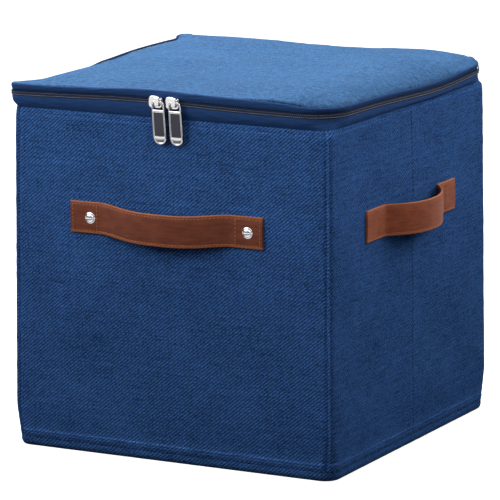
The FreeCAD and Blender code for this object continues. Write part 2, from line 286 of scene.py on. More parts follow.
def make(name, part, material, body, replaced=(), cloth=None, thickness=None, sharp=40):
    """A shown piece of the object: a solid, or a sheet that is thickened inwards."""
    points, faces = part
    mesh = bpy.data.meshes.new(name)
    mesh.from_pydata(points.tolist(), [], faces)
    if cloth is None:
        cloth = points
    layer = mesh.attributes.new("cloth", "FLOAT_VECTOR", "POINT")
    layer.data.foreach_set("vector", np.asarray(cloth, np.float32).ravel())
    mesh.shade_smooth()
    if thickness is None:
        work = bmesh.new()
        work.from_mesh(mesh)
        bmesh.ops.recalc_face_normals(work, faces=work.faces)
        work.to_mesh(mesh)
        work.free()
        mesh.set_sharp_from_angle(angle=math.radians(sharp))
    obj = added(name, mesh)
    obj.data.materials.append(material)
    if thickness is not None:
        layers = obj.modifiers.new("thickness", "SOLIDIFY")
        layers.thickness, layers.offset = thickness, -1
    if body is not None:
        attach(obj, body)
    if replaced:
        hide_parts(*replaced)
    return obj


def stitch(length, radius):
    """One stitch along x, which dips into the cloth at both ends."""
    angle = circle(6)
    loops = []
    for t in np.linspace(-1, 1, 6):
        size = radius * math.sqrt(max(1 - t * t * 0.85, 0.05))
        y, z = size * np.cos(angle), size * np.sin(angle) - radius * t * t
        loops.append(np.column_stack([np.full(6, t * length / 2), y, z]))
    return loft(loops)


# ---------------------------------------------------------------- materials


class Shade:
    """A procedural material, built node by node. Numbers that are the same all over are set
    on the shader's own sockets."""

    def __init__(self, name, **sockets):
        self.material = bpy.data.materials.new(name)
        self.material.use_nodes = True
        self.tree = self.material.node_tree
        self.shader = self.tree.nodes["Principled BSDF"]
        for socket, value in sockets.items():
            self.shader.inputs[socket.replace("_", " ")].default_value = value

    def node(self, kind, *values, out=0, **settings):
        node = self.tree.nodes.new("ShaderNode" + kind)
        for key, value in settings.items():
            setattr(node, key, value)
        for socket, value in zip(node.inputs, values):
            if isinstance(value, bpy.types.NodeSocket):
                self.tree.links.new(value, socket)
            elif value is not None:
                socket.default_value = value
        return node.outputs[out]

    def math(self, operation, *values):
        return self.node("Math", *values, operation=operation)

    def chain(self, operation, values):
        total = values[0]
        for value in values[1:]:
            total = self.math(operation, total, value)
        return total

    def sum(self, *values):
        return self.chain("ADD", values)

    def minus(self, *values):
        return self.chain("SUBTRACT", values)

    def product(self, *values):
        return self.chain("MULTIPLY", values)

    def centred(self, value, amount):
        """The value, which is about 0.5, as that amount of change about 0."""
        return self.product(self.minus(value, 0.5), amount)

    def parts(self, vector):
        """The first two parts of the vector."""
        return self.node("SeparateXYZ", vector).node.outputs[:2]

    def scaled(self, vector, x, y, z=0.0):
        return self.node("VectorMath", vector, (x, y, z), operation="MULTIPLY")

    def noise(self, vector, scale, detail=2.0, roughness=0.5):
        node = self.tree.nodes.new("ShaderNodeTexNoise")
        self.tree.links.new(vector, node.inputs["Vector"])
        node.inputs["Scale"].default_value = scale
        node.inputs["Detail"].default_value = detail
        node.inputs["Roughness"].default_value = roughness
        return node.outputs["Fac"]

    def mix(self, factor, first, second):
        node = self.tree.nodes.new("ShaderNodeMix")
        node.data_type = "RGBA"
        for socket, value in zip([node.inputs[i] for i in (0, 6, 7)], (factor, first, second)):
            if isinstance(value, bpy.types.NodeSocket):
                self.tree.links.new(value, socket)
            else:
                socket.default_value = (*value, 1.0) if isinstance(value, tuple) else value
        return node.outputs[2]

    def between(self, value, low, high):
        """The value taken from low..high to 0..1, and held there."""
        return self.node("MapRange", value, low, high, 0.0, 1.0)

    def cloth(self):
        return self.node("Attribute", attribute_name="cloth", out=1)

    def finish(self, colour, height, depth, roughness=None):
        self.tree.links.new(colour, self.shader.inputs["Base Color"])
        if roughness is not None:
            self.tree.links.new(roughness, self.shader.inputs["Roughness"])
        bump = self.tree.nodes.new("ShaderNodeBump")
        bump.inputs["Distance"].default_value = depth
        bump.inputs["Strength"].default_value = 1.0
        self.tree.links.new(height, bump.inputs["Height"])
        self.tree.links.new(bump.outputs[0], self.shader.inputs["Normal"])
        return self.material


def woven(name, warp, weft, pitch, relief, uneven, ridge=0.0, plain=False, heather_and_wrinkle_shade=0.0, **sockets):
    """Woven cloth. Yarns pitch apart (across, up) cross two over two, or one over one if plain.
    Each yarn has its own tone and its own thick and thin places; an optional strength adds heathered flecks
    and fine streaks along x, the streaks being painted shade of small wrinkles. The colour is darkened in
    the gaps between yarns: painted shade."""
    m = Shade(name, **sockets)
    vector = m.cloth()
    across, up = m.parts(vector)
    sway = m.centred(m.noise(vector, 40.0), 1.2)  # yarns aren't quite straight
    u = m.sum(m.math("DIVIDE", across, pitch[0]), sway)
    v = m.sum(m.math("DIVIDE", up, pitch[1]), sway)
    column, row = m.math("FLOOR", u), m.math("FLOOR", v)
    reach = 1.0 if plain else 2.0  # yarns that each float passes over
    step = m.math("FLOORED_MODULO", m.minus(column, row), 2 * reach)
    warp_up = m.math("LESS_THAN", step, reach - 0.5)

    def crown(across, along):
        side = m.product(across, m.minus(1.0, across), 4.0)
        t = m.math("FLOORED_MODULO", along, 2 * reach)
        arch = m.product(t, m.minus(reach, t))
        return m.product(side, m.math("MULTIPLY_ADD", arch, 1.8 / reach**2, 0.55))

    warp_height = crown(m.math("FRACT", u), m.minus(m.sum(column, reach), v))
    weft_height = crown(m.math("FRACT", v), m.minus(u, row, reach))
    height = m.math("MAXIMUM", m.node("Mix", warp_up, None, weft_height, warp_height), 0.0)

    warp_own = m.node("TexWhiteNoise", None, column, noise_dimensions="1D")
    weft_own = m.node("TexWhiteNoise", None, m.sum(row, 913.0), noise_dimensions="1D")
    cell = m.node("TexWhiteNoise", m.node("CombineXYZ", column, row), noise_dimensions="2D")
    warp_slub = m.noise(m.scaled(vector, 1.0 / pitch[0], 0.06 / pitch[1]), 0.8)
    weft_slub = m.noise(m.scaled(vector, 0.06 / pitch[0], 1.0 / pitch[1]), 0.8)
    own = m.node("Mix", warp_up, None, weft_own, warp_own)
    slub = m.node("Mix", warp_up, None, weft_slub, warp_slub)
    fuzz = m.noise(vector, 0.5 / pitch[0], 3.0, 0.75)
    worn = m.noise(vector, 14.0, 4.0, 0.6)
    tone = m.sum(
        m.centred(own, 0.45 * uneven),
        m.centred(cell, 1.1 * uneven),
        m.centred(slub, 2.6 * uneven),
        m.centred(fuzz, 2.4 * uneven),
        m.centred(worn, 1.1 * uneven),
        1.0,
    )
    if heather_and_wrinkle_shade:
        flecks = m.noise(m.scaled(vector, 0.75, 1.0), 230.0, 3.0, 0.7)
        # Painted shade: these fine streaks along x stand in for the shading of small wrinkles; the flecks
        # are heathered yarn.
        streaks = m.noise(m.scaled(vector, 0.5, 1.0), 520.0, 2.0, 0.6)
        tone = m.sum(tone, m.centred(flecks, heather_and_wrinkle_shade), m.centred(streaks, 0.6 * heather_and_wrinkle_shade))
    if ridge:
        ridges = m.math("COSINE", m.product(m.sum(u, v), math.pi / 2))
        tone = m.sum(tone, m.product(ridges, ridge))
    # Painted shade: the colour is darkened where the yarns dip, to about half in the gaps between them.
    depth = m.math("MULTIPLY_ADD", m.math("MINIMUM", height, 1.0), 0.6, 0.5)
    tone_and_gap_shade = m.product(m.math("MAXIMUM", tone, 0.2), depth)
    colour = m.node("VectorMath", m.mix(warp_up, weft, warp), operation="SCALE")
    m.tree.links.new(tone_and_gap_shade, colour.node.inputs["Scale"])
    surface = m.sum(height, m.product(fuzz, 0.8))
    return m.finish(colour, surface, relief)


def leather(name, base, edge, deep):
    """Grained leather, paler along its two long edges, which lie across from the cloth's y = 0."""
    m = Shade(name, Roughness=0.5, Specular_IOR_Level=0.22)
    vector = m.cloth()
    across = m.parts(vector)[1]
    cells = m.tree.nodes.new("ShaderNodeTexVoronoi")
    cells.inputs["Scale"].default_value = 1500.0
    m.tree.links.new(vector, cells.inputs["Vector"])
    grain = m.between(cells.outputs["Distance"], 0.0, 0.6)
    mottle = m.noise(vector, 90.0, 4.0, 0.65)
    streaks = m.noise(m.scaled(vector, 60.0, 420.0), 1.0, 3.0)
    colour = m.mix(m.between(m.sum(mottle, streaks, -0.5), 0.25, 0.75), deep, base)
    rim = m.between(m.math("ABSOLUTE", across), 10.2 * MM, 13.6 * MM)
    colour = m.mix(m.product(rim, 0.75), colour, edge)
    rough = m.math("MULTIPLY_ADD", mottle, 0.3, 0.38)
    relief = m.sum(grain, m.product(mottle, 1.5))
    return m.finish(colour, relief, 0.08 * MM, rough)


def metal(name, colour, roughness):
    """Polished plating with faint handling marks."""
    m = Shade(name, Metallic=1.0, Roughness=roughness)
    marks = m.noise(m.cloth(), 700.0, 3.0, 0.6)
    tone = m.mix(marks, tuple(0.85 * c for c in colour), colour)
    rough = m.math("MULTIPLY_ADD", marks, 0.12, roughness - 0.04)
    return m.finish(tone, marks, 0.01 * MM, rough)


def moulded(name, colour, roughness, grain, gloss=0.3):
    m = Shade(name, Roughness=roughness, Specular_IOR_Level=gloss)
    spots = m.noise(m.cloth(), grain, 2.0)
    tone = m.mix(spots, tuple(0.6 * c for c in colour), tuple(1.4 * c for c in colour))
    return m.finish(tone, spots, 0.03 * MM)


def board(name, colour):
    m = Shade(name, Roughness=0.9)
    fibres = m.noise(m.cloth(), 260.0, 4.0, 0.7)
    tone = m.mix(fibres, tuple(0.8 * c for c in colour), tuple(1.15 * c for c in colour))
    return m.finish(tone, fibres, 0.05 * MM)


def coat(nodes, material):
    """Gives these CAD parts, which are shown as they are, the material."""
    for node in nodes:
        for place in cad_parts[node].material_slots:
            place.material = material


body_cloth = woven(
    "body_cloth", (0.031, 0.107, 0.355), (0.076, 0.2, 0.525), (0.98 * MM, 0.8 * MM), 0.15 * MM,
    0.66, ridge=-0.05, Roughness=0.95, Specular_IOR_Level=0.03,
)
lid_cloth = woven(
    "lid_cloth", (0.03, 0.098, 0.232), (0.06, 0.155, 0.325), (0.7 * MM, 0.6 * MM), 0.14 * MM,
    0.5, plain=True, heather_and_wrinkle_shade=1.5, Roughness=0.9, Specular_IOR_Level=0.04,
    Sheen_Weight=0.03, Sheen_Tint=(0.6, 0.8, 1.0, 1.0),
)
BINDING = {"plain": True, "Roughness": 0.85, "Specular_IOR_Level": 0.1}
FINE_PITCH = (0.42 * MM, 0.42 * MM)
# Painted light: the rim band's cloth is a lighter copy of the binding cloth, to offset the band rendering
# dark where it leans out.
rim_cloth_painted_light = woven(
    "rim_cloth_painted_light", (0.027, 0.085, 0.26), (0.042, 0.118, 0.35), FINE_PITCH, 0.06 * MM, 0.2, **BINDING
)
trim_cloth = woven(
    "trim_cloth", (0.02, 0.062, 0.19), (0.031, 0.088, 0.255), FINE_PITCH, 0.06 * MM, 0.2, **BINDING
)
tape_cloth = woven(
    "tape_cloth", (0.012, 0.028, 0.085), (0.022, 0.05, 0.13), (0.5 * MM, 0.5 * MM), 0.08 * MM,
    0.2, Roughness=0.8, Specular_IOR_Level=0.15,
)
lining_cloth = woven(
    "lining_cloth", (0.035, 0.05, 0.085), (0.06, 0.082, 0.13), (0.55 * MM, 0.55 * MM), 0.06 * MM,
    0.2, plain=True, Roughness=0.9, Specular_IOR_Level=0.1,
)
strap_leather = leather("strap_leather", (0.25, 0.071, 0.036), (0.43, 0.14, 0.058), (0.16, 0.039, 0.022))
side_leather = leather("side_leather", (0.42, 0.112, 0.05), (0.55, 0.17, 0.068), (0.28, 0.066, 0.03))
thread_tan = moulded("thread_tan", (0.5, 0.19, 0.08), 0.7, 900.0)
thread_blue = moulded("thread_blue", (0.075, 0.19, 0.5), 0.75, 900.0)
thread_navy = moulded("thread_navy", (0.035, 0.1, 0.29), 0.75, 900.0)
chrome = metal("chrome", (0.9, 0.89, 0.9), 0.14)
# Painted reflection: this plating is given a dark colour to stand in for the dark studio mirrored in the
# pulls' plates; the end stops use it too.
chrome_painted_dark_reflection = metal("chrome_painted_dark_reflection", (0.16, 0.16, 0.2), 0.16)
coil_nylon = moulded("coil_nylon", (0.012, 0.018, 0.045), 0.4, 600.0)
# Painted highlights: pale dashes over the coil's heads stand in for where the coil catches the light; the
# lower row's are paler.
coil_glint = moulded("coil_glint", (0.17, 0.22, 0.38), 0.5, 600.0, 0.25)
pale_coil_glint = moulded("pale_coil_glint", (0.37, 0.39, 0.5), 0.5, 600.0, 0.25)
card = board("card", (0.36, 0.27, 0.18))
coat([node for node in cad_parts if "board" in node], card)
coat(["left_slider_body", "right_slider_body", "front_rivet_backs"], chrome)
coat(["left_pull_tab", "right_pull_tab"], chrome_painted_dark_reflection)

# ---------------------------------------------------------------- the woven body


def body_half(z):
    return WALL + FLARE * (1 - z / CLOTH_TOP)


def body_radius(z):
    """The corners are rounder at the floor, and again at the rim."""
    low = (BASE_RADIUS - CORNER_RADIUS) * (1 - rise(z, 4, 38))
    return CORNER_RADIUS + low + (RIM_RADIUS - CORNER_RADIUS) * rise(z, 296, 16)


def row_at(values, value):
    """Which of the values is the nearest."""
    return int(np.argmin(np.abs(values - value)))


def sew(name, lines, material):
    """Stitches of thread along lines of points that run over the walls."""
    length, gap, radius = 2.6 * MM, 1.3 * MM, 0.33 * MM
    origins, ways = [], []
    for points in lines:
        far = np.concatenate([[0], np.cumsum(np.linalg.norm(np.diff(points, axis=0), axis=1))])
        at = np.arange(length, far[-1] - length, length + gap)
        back, ahead = (
            np.column_stack([np.interp(at + way * MM, far, points[:, k]) for k in range(3)])
            for way in (-1, 1)
        )
        origins.append((back + ahead) / 2)
        ways.append(ahead - back)
    origins, ways = np.concatenate(origins), np.concatenate(ways)
    ways /= np.linalg.norm(ways, axis=1)[:, None]
    out = np.array(origins)  # away from the object's middle, across the stitch
    out[:, 2] = 0
    level = np.abs(out[:, :2]).max(1) - 6 * MM
    out[:, :2] = np.where(np.abs(out[:, :2]) > level[:, None], out[:, :2], 0)
    out -= ways * np.sum(out * ways, axis=1)[:, None]
    out /= np.linalg.norm(out, axis=1)[:, None]
    axes = np.stack([ways, np.cross(out, ways), out], 1)
    thread = copies(stitch(length, radius), origins + 0.12 * MM * out, axes)
    return make(name, thread, material, "bin")


def body_panel(name, side, past_corner, top, seed, replaced):
    """One woven wall panel. past_corner is how far it runs past its side's two corners, round
    the outline: the side panels wrap onto the front and back, where their seams are."""
    z = steps(HEM_TOP - 0.6 * MM, top, 2.4 * MM, 0.6 * MM, 6 * MM)[:, None]
    half, radius = body_half(z), body_radius(z)
    reach = quarter_of(half, radius) / 2 + past_corner
    width = quarter_of(WALL, CORNER_RADIUS) / 2 + past_corner
    share = steps(-width, width, 2.4 * MM, 0.6 * MM, 8 * MM)
    if past_corner > 0:
        share = np.unique(np.concatenate([share, np.arange(-4, 4, 0.5) * MM]))
    along = share / width * reach
    edge = width - np.abs(share)
    from_base, to_top = z - HEM_TOP, top - z
    still = rise(edge, 0, 22) * rise(from_base, 0, 22) * rise(to_top, 0, 22)
    out = still * 0.75 * MM * ripples(along, z, seed, 120 * MM)
    out = out + still * 0.16 * MM * ripples(along, z, seed + 1, 22 * MM)
    # Small puckers run away from the sewn edges
    pucker = ripples(along / 3, z * 0 + 1, seed + 2, 5 * MM) * dent(np.minimum(from_base, to_top), 0, 9)
    pucker = pucker + ripples(z / 3, along * 0, seed + 3, 5 * MM) * dent(edge, 0, 8)
    out = out + 0.22 * MM * pucker
    out = np.where(out < 0, 0.3 * out, out) + 0.15 * MM  # the boards hold it out
    # Seams pull the cloth in at all four edges
    out = out - MM * (1.1 * dent(edge, 0, 1.5) + 0.9 * dent(to_top, 0, 2.2) + 0.25 * dent(from_base, 0, 1.2))
    if past_corner > 0:  # a raised seam, and the fold line between the two boards of a side wall
        fold = np.abs(along)
        out = out + 0.45 * MM * dent(edge, 3, 2.5)
        out = out - 0.55 * MM * dent(fold, 0, 1.1) + 0.25 * MM * dent(fold, 4, 3)
    points = raised(along + side * quarter_of(half, radius), z, half, radius, out)
    obj = make(
        name, grid(points), body_cloth, "bin", replaced,
        cloth=flat_map(along, z), thickness=CLOTH,
    )
    hem_line = points[row_at(z[:, 0], HEM_TOP + 2.2 * MM)]
    sew(name.replace("panel", "hem_stitches"), [hem_line], thread_navy)
    if past_corner > 0:
        places = (2.4 * MM - width, -3.0 * MM, 3.0 * MM, width - 2.4 * MM)
        seams = [points[:, row_at(share, place)] for place in places]
        sew(name.replace("panel", "seam_stitches"), seams, thread_blue)


def hem_band():
    """The turned-up edge of the base cloth, under the base seam, all round."""
    z = np.linspace(0.3 * MM, HEM_TOP, 12)[:, None]
    half, radius = body_half(z), body_radius(z)
    u = np.linspace(0, 4, 560, endpoint=False)[None, :] * quarter_of(half, radius)
    curl = np.clip(1 - z / (4.5 * MM), 0, 1)
    out = 0.15 * MM * np.sin(math.pi * z / HEM_TOP) - 0.3 * MM - 2.2 * MM * curl**2
    out = out - 0.2 * MM * dent(z, HEM_TOP / MM, 1.0) + 0.08 * MM * ripples(u / 3, 0 * z, 31, 6 * MM)
    return make(
        "hem_band", grid(raised(u, z, half, radius, out), close=True), body_cloth, "bin",
        ["base_hem_band"], cloth=flat_map(u, z), thickness=CLOTH,
    )


def rounded_plan(half, radius, count):
    """x, y and the distance from the edge, over a square with round corners."""
    fine = steps(-half, half, 2 * half / count, 0.7 * MM, 6 * MM)
    x, y = np.meshgrid(fine, fine)
    over_x, over_y = (np.clip(np.abs(k) - half + radius, 0, None) / radius for k in (x, y))
    round_x = radius * over_x * np.sqrt(1 - over_y**2 / 2)
    round_y = radius * over_y * np.sqrt(1 - over_x**2 / 2)
    edge = half - np.maximum(np.abs(x), np.abs(y))
    x = np.sign(x) * (np.minimum(np.abs(x), half - radius) + round_x)
    y = np.sign(y) * (np.minimum(np.abs(y), half - radius) + round_y)
    return x, y, edge


def flat_cloth(name, half, radius, height, material, body, replaced, thickness, down=False):
    """A level sheet with round corners; height(x, y, edge) gives its upper face."""
    x, y, edge = rounded_plan(half, radius, 90)
    points = slumped(np.stack([x, y, height(x, y, edge)], -1))
    return make(
        name, grid(points, flip=down), material, body, replaced,
        cloth=flat_map(x, y), thickness=thickness,
    )


body_panel("front_panel", 0, -SEAM_FROM_CORNER, CLOTH_TOP, 11, ["front_outer_fabric"])
body_panel(
    "right_panel", 1, SEAM_FROM_CORNER, SIDE_CLOTH_TOP, 12, ["right_outer_fabric", "corner_seams"]
)
body_panel("back_panel", 2, -SEAM_FROM_CORNER, CLOTH_TOP, 13, ["back_outer_fabric"])
body_panel("left_panel", 3, SEAM_FROM_CORNER, SIDE_CLOTH_TOP, 14, ["left_outer_fabric"])
hem = hem_band()
base_half = body_half(0) - 2.4 * MM
base_cloth = flat_cloth(
    "base_cloth", base_half, BASE_RADIUS, lambda x, y, edge: 0.25 * MM + 0 * x, body_cloth,
    "bin", ["base_outer_fabric"], 0.2 * MM, down=True,
)

# ---------------------------------------------------------------- rim, zip and lid band

ZIP_QUARTER = quarter_of(TAPE_FACE, ZIP_RADIUS)
BACK_STRAIGHT = TAPE_FACE - ZIP_RADIUS
ZIP_REACH = 2 * ZIP_QUARTER - BACK_STRAIGHT  # the zip ends where the back becomes straight
TEETH_REACH = ZIP_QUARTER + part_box("zip_end_stops")[0][1]
BAND_FOOT = UPPER_TEETH[1] - 0.8 * MM
BAND_HEAD = LID_TOP + 1.7 * MM
RIM_FOOT = CLOTH_TOP - 1.5 * MM
RIM_INSET = WALL - 1.4 * MM


def band(
    name, z, half, radius, material, body, replaced, thickness, seed=0, wave=0.0, slack=0.0
):
    """A strip round the front, sides and back corners; z, half and radius change up its rows.
    slack is each row's share of the right side's droop."""
    z, half, radius = (np.asarray(value, float)[:, None] for value in (z, half, radius))
    share = np.linspace(-ZIP_REACH, ZIP_REACH, 620)[None, :]
    reach = 2 * quarter_of(half, radius) - (half - radius)
    u = share / ZIP_REACH * reach
    middle = np.sin(math.pi * np.linspace(0, 1, len(z)))[:, None]
    out = wave * middle * ripples(share / 2, z * 4, seed, 9 * MM)
    place = outline(u, half, radius)[0]
    hang = edge_drop(place[..., 0], place[..., 1]) * np.reshape(slack, (-1, 1))
    points = raised(u, z - hang, half, radius, out)
    return make(
        name, grid(points), material, body, replaced, cloth=flat_map(u, z), thickness=thickness
    )


row = np.linspace(0, 1, 12)
band(
    "rim_band",
    RIM_FOOT + row * (LOWER_TEETH[0] + 1.2 * MM - RIM_FOOT),
    RIM_INSET + (TAPE_FACE + 0.5 * MM - RIM_INSET) * np.sin(row * math.pi / 2) ** 0.8,
    RIM_RADIUS + (ZIP_RADIUS - RIM_RADIUS) * row,
    rim_cloth_painted_light, "bin", ["rim_binding"], 0.8 * MM, 41, 0.25 * MM,
)
band(
    "lower_tape",
    np.linspace(LOWER_TEETH[0] - 1.5 * MM, LOWER_TEETH[1] + 0.3 * MM, 4),
    [TAPE_FACE] * 4, [ZIP_RADIUS] * 4,
    tape_cloth, "bin", ["zip_lower_tape"], 0.5 * MM,
)
band(
    "upper_tape",
    np.linspace(UPPER_TEETH[0] - 0.3 * MM, UPPER_TEETH[1] + 1.8 * MM, 4),
    [TAPE_FACE] * 4, [ZIP_RADIUS] * 4,
    tape_cloth, "lid", ["zip_upper_tape"], 0.5 * MM,
)
row = np.linspace(0, 1, 14)
over = np.clip(row - 0.72, 0, 1) / 0.28  # its top edge turns in over the lid's cloth
lid_band = band(
    "lid_band",
    BAND_FOOT + np.clip(row / 0.86, 0, 1) * (BAND_HEAD - BAND_FOOT) - 0.5 * MM * over**3,
    TAPE_FACE + 0.3 * MM + 0.7 * MM * np.sin(row * math.pi) - 2.4 * MM * over**2,
    [ZIP_RADIUS] * 14,
    trim_cloth, "lid", ["lid_side_band"], 0.8 * MM, 43, 0.15 * MM, slack=row,
)


def tooth(up):
    """One turn of the zip's coil: a leg in front, a flattened head at the middle, a leg behind.
    x runs along the zip, y out of it and z away from the other row."""
    turn = np.linspace(-math.pi / 2, math.pi / 2, 5)
    way = [(0.3, COIL_DEPTH, COIL_LEG), (0.12, COIL_DEPTH, COIL_LEG * 0.5)]
    way += [(0.0, -COIL_DEPTH * math.sin(a), -0.3 * MM * math.cos(a)) for a in turn]
    way += [(-0.2, -COIL_DEPTH, COIL_LEG * 0.6), (-0.45, -COIL_DEPTH, COIL_LEG)]
    side = Vector((1, 0, 0))
    loops = []
    for place, (x, y, z) in enumerate(way):
        head = 1.35 if 2 <= place <= 6 else 1.0
        before, after = way[max(place - 1, 0)], way[min(place + 1, len(way) - 1)]
        heading = Vector((0, after[1] - before[1], after[2] - before[2])).normalized()
        other = heading.cross(side)
        middle = Vector((x * TOOTH_PITCH, y, z))
        ring = [middle + 0.36 * MM * (head * math.cos(a) * side + math.sin(a) * other) for a in circle(8)]
        loops.append([list(p) for p in ring])
    points, faces = loft(loops)
    return points * (1, 1, 1 if up else -1), faces


def along_zip(part, shift, lift, out):
    """The part repeated at each tooth of the zip, moved by shift teeth, up by lift and out."""
    count = int(2 * TEETH_REACH / TOOTH_PITCH)
    u = (np.arange(-1, count + 1) + shift + 0.5) * TOOTH_PITCH - TEETH_REACH
    place, _ = outline(u, TAPE_FACE, ZIP_RADIUS)
    points = settled(np.column_stack([place, np.full(count + 2, ZIP_CENTRE)]))
    along = points[2:] - points[:-2]
    along /= np.linalg.norm(along, axis=1)[:, None]
    away = np.cross(along, [0.0, 0.0, 1.0])
    away /= np.linalg.norm(away, axis=1)[:, None]
    upright = np.cross(away, along)
    origins = points[1:-1] + lift * upright + out * away
    return copies(part, origins, np.stack([along, away, upright], 1))


for name, up, body, thread in (
    ("lower", False, "bin", pale_coil_glint), ("upper", True, "lid", coil_glint),
):
    side, shift = (1, 0.5) if up else (-1, 0.0)
    coil = along_zip(tooth(up), shift, side * 0.12 * MM, 0.3 * MM)
    make(f"{name}_teeth", coil, coil_nylon, body, [f"zip_{name}_teeth"])
    # Pale dashes over each row's coil heads: painted highlights.
    head = stitch(1.15 * MM, 0.3 * MM)
    heads = along_zip(head, shift, side * 1.1 * MM, 0.3 * MM + COIL_DEPTH + 0.3 * MM)
    make(f"{name}_coil_glints", heads, thread, body)

# ---------------------------------------------------------------- lid

LID_HALF = TAPE_FACE + 0.1 * MM
BOARD_HALF = LID_HALF - 16 * MM
SHADOW_CORD_FROM_EDGE, SHADOW_CORD_RADIUS = 1.3 * MM, 0.95 * MM


def lid_height(x, y, edge):
    """Upper face of the lid: a low crown with soft hollows, a tight seam at the front and left,
    and a slack rolled edge at the right and, less, at the back."""
    lift, slack = rim_lift(x, y), droop(x)
    rim = LID_TOP + 0.9 * MM + lift - RIGHT_DROOP * slack - front_sink(x, y)
    hump = LID_HUMP * dent(x, 116, 44) * rise(-y, -128, 60)
    crown = LID_TOP + LID_CROWN + hump + 0.35 * lift + 0.8 * MM * ripples(x, y, 51, 95 * MM)
    loose = np.maximum(slack, 0.6 * rise(y, 95, 60))
    rolled = np.clip(1 - edge / (LID_ROLL + SLACK_ROLL * loose), 0, 1)
    tucked = np.clip(1 - edge / (2.5 * MM), 0, 1)
    tight = 0.35 * np.sqrt(1 - tucked**2) + 0.65 * rise(edge, 0, 48)
    share = (1 - loose) * tight + loose * (1 - rolled**2) ** 0.55
    z = rim + share * (crown - rim)
    z = z + 0.25 * MM * rise(edge, 0, 8) * ripples(x / 3, y, 52, 22 * MM)
    corner = dent(np.hypot(x - 112 * MM, (y + 150 * MM) * 1.6), 0, 42)
    corner = corner + 0.7 * dent(np.hypot(x - 150 * MM, y - 140 * MM), 0, 45)
    pucker = ripples(x, y / 4, 53, 17 * MM) * dent(edge, 9, 9)
    return z + MM * (0.2 + 1.1 * corner) * pucker * rise(edge, 0, 5)


lid_panel = flat_cloth(
    "lid_panel", LID_HALF, ZIP_RADIUS, lid_height, lid_cloth, "lid",
    ["lid_outer_fabric"], 1.0 * MM,
)


def lid_edge_shadow_cord():
    """A dark cord along the lid's left edge, where it stands proud: painted shade, a dark piece put where
    that edge's side is in shadow.
    """
    y = np.linspace(-34 * MM, 153 * MM, 220)
    x = 0 * y - LID_HALF + SHADOW_CORD_FROM_EDGE
    grown = rise(y, -34, 30) * rise(-y, -153, 6)
    z = lid_height(x, y, 0 * y + SHADOW_CORD_FROM_EDGE) + MM * (1.5 * grown - 0.4)
    centre = slumped(np.column_stack([x, y, z]))
    angle = circle(10)
    size = (SHADOW_CORD_RADIUS * (0.25 + 0.75 * grown))[:, None]
    across = size * np.cos(angle)
    loops = centre[:, None, :] + np.stack([across, 0 * across, size * np.sin(angle)], -1)
    cloth = flat_map(y[:, None], 0.5 * across)
    make("lid_edge_shadow_cord", loft(loops), tape_cloth, "lid", cloth=cloth)


lid_edge_shadow_cord()


def lid_inside_height(x, y, edge):
    """Under face of the lid's lining, which meets the zip's tape at its edge."""
    rim = LID_UNDER + rim_lift(x, y) - 0.6 * MM
    soft = 0.35 * MM * ripples(x, y, 54, 60 * MM)
    flat = np.minimum(lid_height(x, y, edge) - 5.2 * MM, LID_UNDER + 1.5 * MM) + soft
    return rim + rise(edge, 0, 34) * (flat - rim) + 0.8 * MM * dent(edge, 0, 4)


lid_inside = flat_cloth(
    "lid_inside", LID_HALF - 2.5 * MM, ZIP_RADIUS - 2 * MM, lid_inside_height, lining_cloth,
    "lid", ["lid_lining"], -0.5 * MM, down=True,
)


def lid_stiffener():
    """The board inside the lid, bent with the cloth over it."""
    x, y, edge = rounded_plan(BOARD_HALF, ZIP_RADIUS - 4 * MM, 40)
    top = lid_height(x, y, edge + LID_HALF - BOARD_HALF) - 1.6 * MM
    make(
        "lid_stiffener", grid(slumped(np.stack([x, y, top], -1))), card, "lid",
        ["lid_board"], thickness=2.2 * MM,
    )


lid_stiffener()


def hinge_cloth():
    """The cloth that joins the back wall to the lid."""
    x = np.linspace(BACK_STRAIGHT, -BACK_STRAIGHT, 120)[None, :]
    up = np.linspace(0, 1, 26)[:, None]
    z = RIM_FOOT + up * (LID_TOP - 0.7 * MM - RIM_FOOT)
    y = RIM_INSET + 3.2 * MM * np.sin(np.clip(up * 2.2, 0, 1) * math.pi / 2)
    y = y + 0.25 * MM * ripples(x, z, 61, 25 * MM) * np.sin(math.pi * up)
    x, y, z = np.broadcast_arrays(x, y, z)
    obj = make(
        "hinge_cloth", grid(settled(np.stack([x, y, z], -1))), trim_cloth, None,
        ["back_hinge_strip"], cloth=flat_map(x, z), thickness=0.8 * MM,
    )
    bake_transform(obj)


hinge_cloth()

# ---------------------------------------------------------------- lining and base board

LINING_RADIUS = 4 * MM


def wall_lining():
    """The lining of all four walls, which flares out under the zip's tape at its top."""
    z = steps(FLOOR_LINING, LOWER_TEETH[0], 4 * MM, 1.5 * MM, 9 * MM)[:, None]
    quarter = quarter_of(INNER, LINING_RADIUS)
    u = np.linspace(0, 4, 500, endpoint=False)[None, :] * quarter + 0 * z
    side = np.floor(u / quarter + 0.5)
    along = np.abs(u - side * quarter)
    fold = np.where(side % 2 == 1, dent(along, 0, 1.5), 0.0)
    flare = rise(z, 306, 11)
    soft = 0.1 * MM * ripples(u, z, 71, 40 * MM) * rise(quarter / 2 - along, 0, 30)
    out = (TAPE_FACE - 3.0 * MM - INNER) * flare + (1 - flare) * (soft + 0.9 * MM * fold)
    points = raised(u, z, INNER + 0 * z, LINING_RADIUS + 11 * MM * flare, out)
    obj = make(
        "wall_lining", grid(points, close=True, flip=True), lining_cloth, "bin",
        ["front_lining", "right_lining", "back_lining", "left_lining"], cloth=flat_map(u, z),
        thickness=0.5 * MM,
    )


wall_lining()
floor_lining = flat_cloth(
    "floor_lining", INNER, LINING_RADIUS, lambda x, y, edge: FLOOR_LINING + 0 * x, lining_cloth,
    "bin", ["base_lining"], 0.5 * MM,
)


